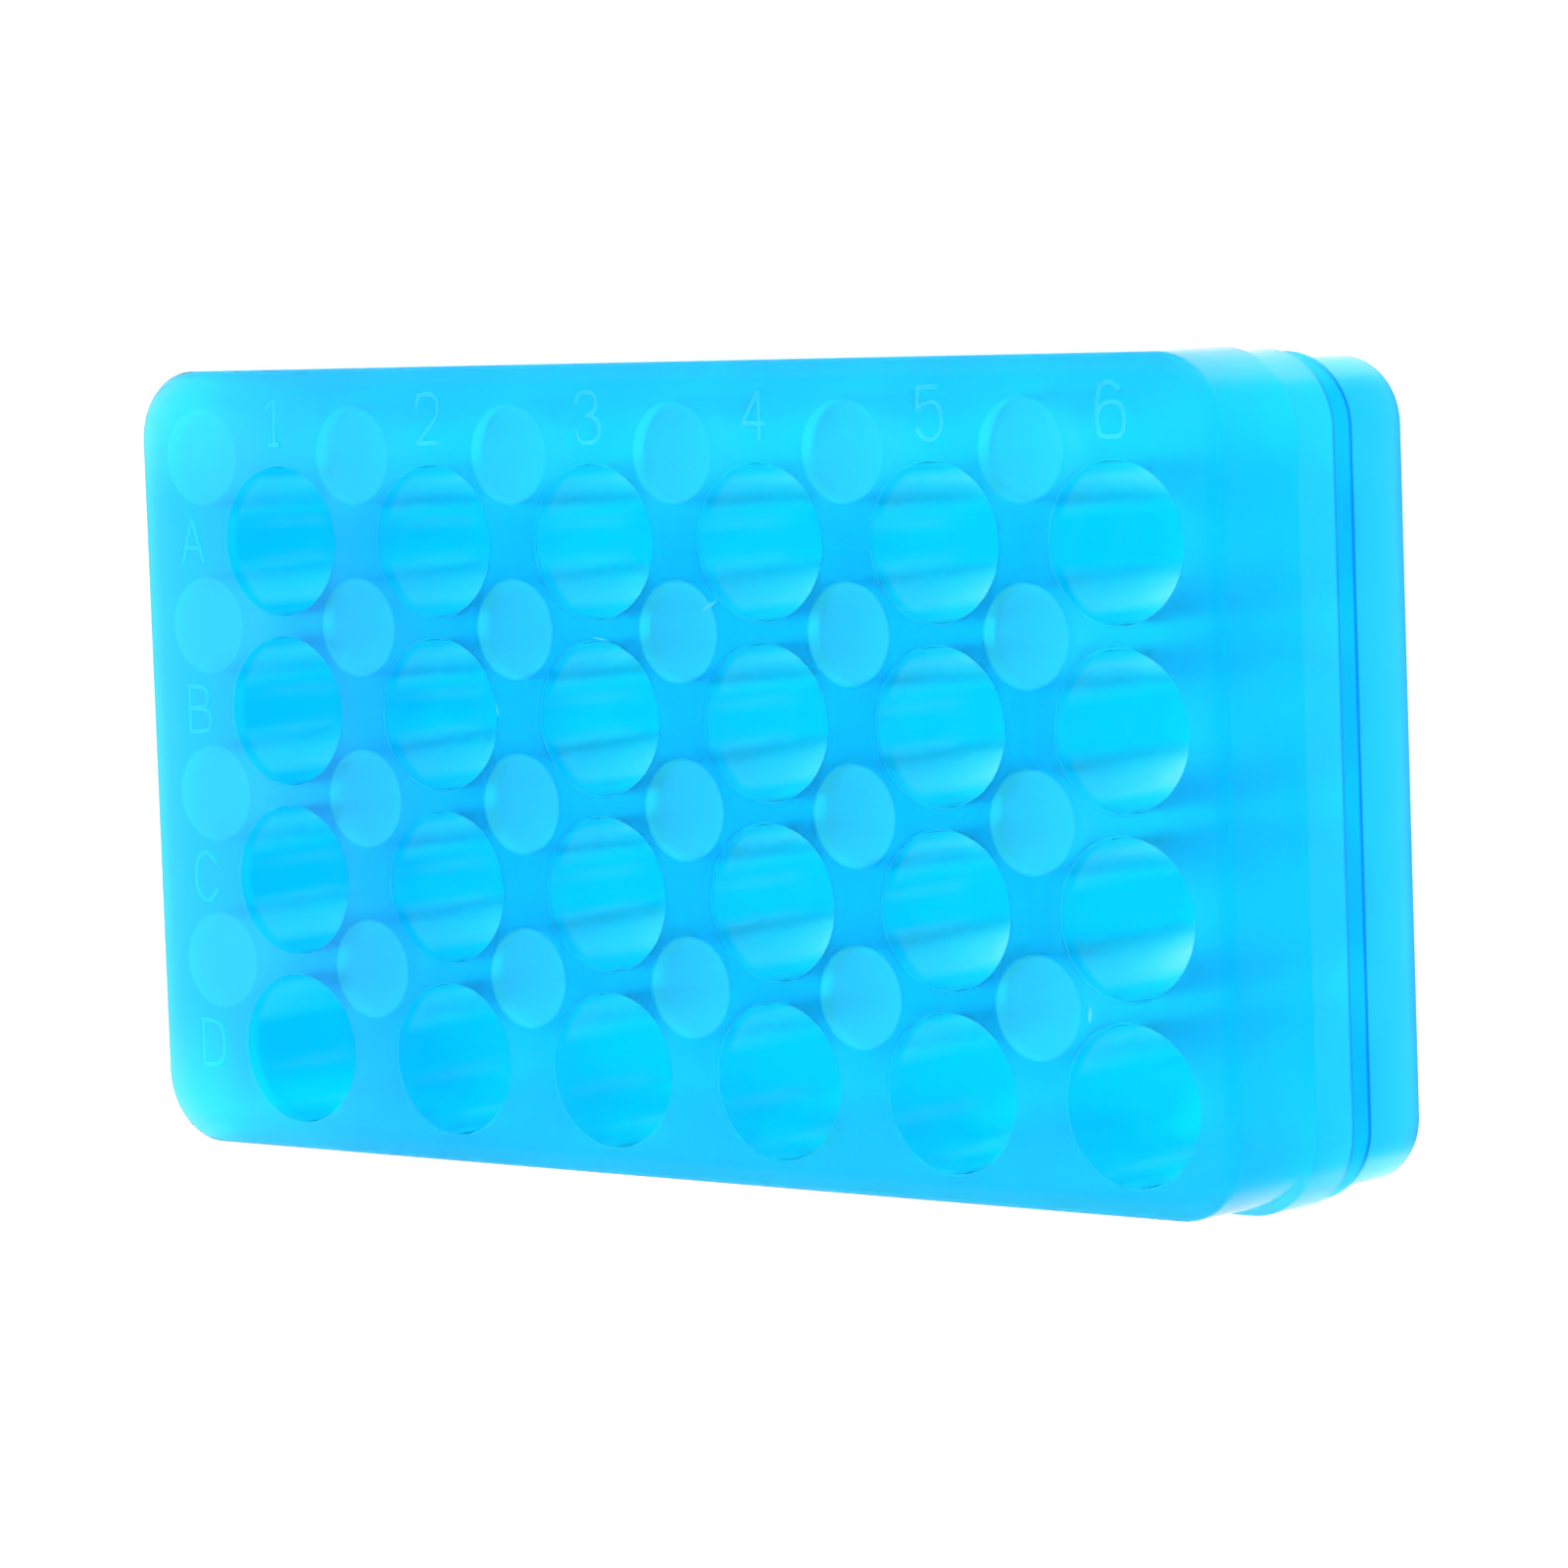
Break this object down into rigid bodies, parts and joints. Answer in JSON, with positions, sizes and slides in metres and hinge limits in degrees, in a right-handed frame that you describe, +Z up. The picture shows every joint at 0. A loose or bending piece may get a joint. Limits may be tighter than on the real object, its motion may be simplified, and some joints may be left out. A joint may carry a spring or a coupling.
{
  "type": "centrifuge tube rack",
  "caption": "Two-sided rack for microcentrifuge tubes: a translucent cyan plastic block with large wells on top and small wells below.",
  "frame": {"origin": "centre of the footprint, on the surface that the rack stands on", "axes": "+Z up, out of the face with the large wells; +X along the rows, from column 1 to the last; +Y towards row A"},
  "size_m": [0.0996, 0.0582, 0.0217],
  "materials": {
    "cyan_polypropylene": "translucent, soft sheen"
  },
  "bodies": {
    "root": {"tube_rack": "cyan_polypropylene"}
  },
  "joints": []
}
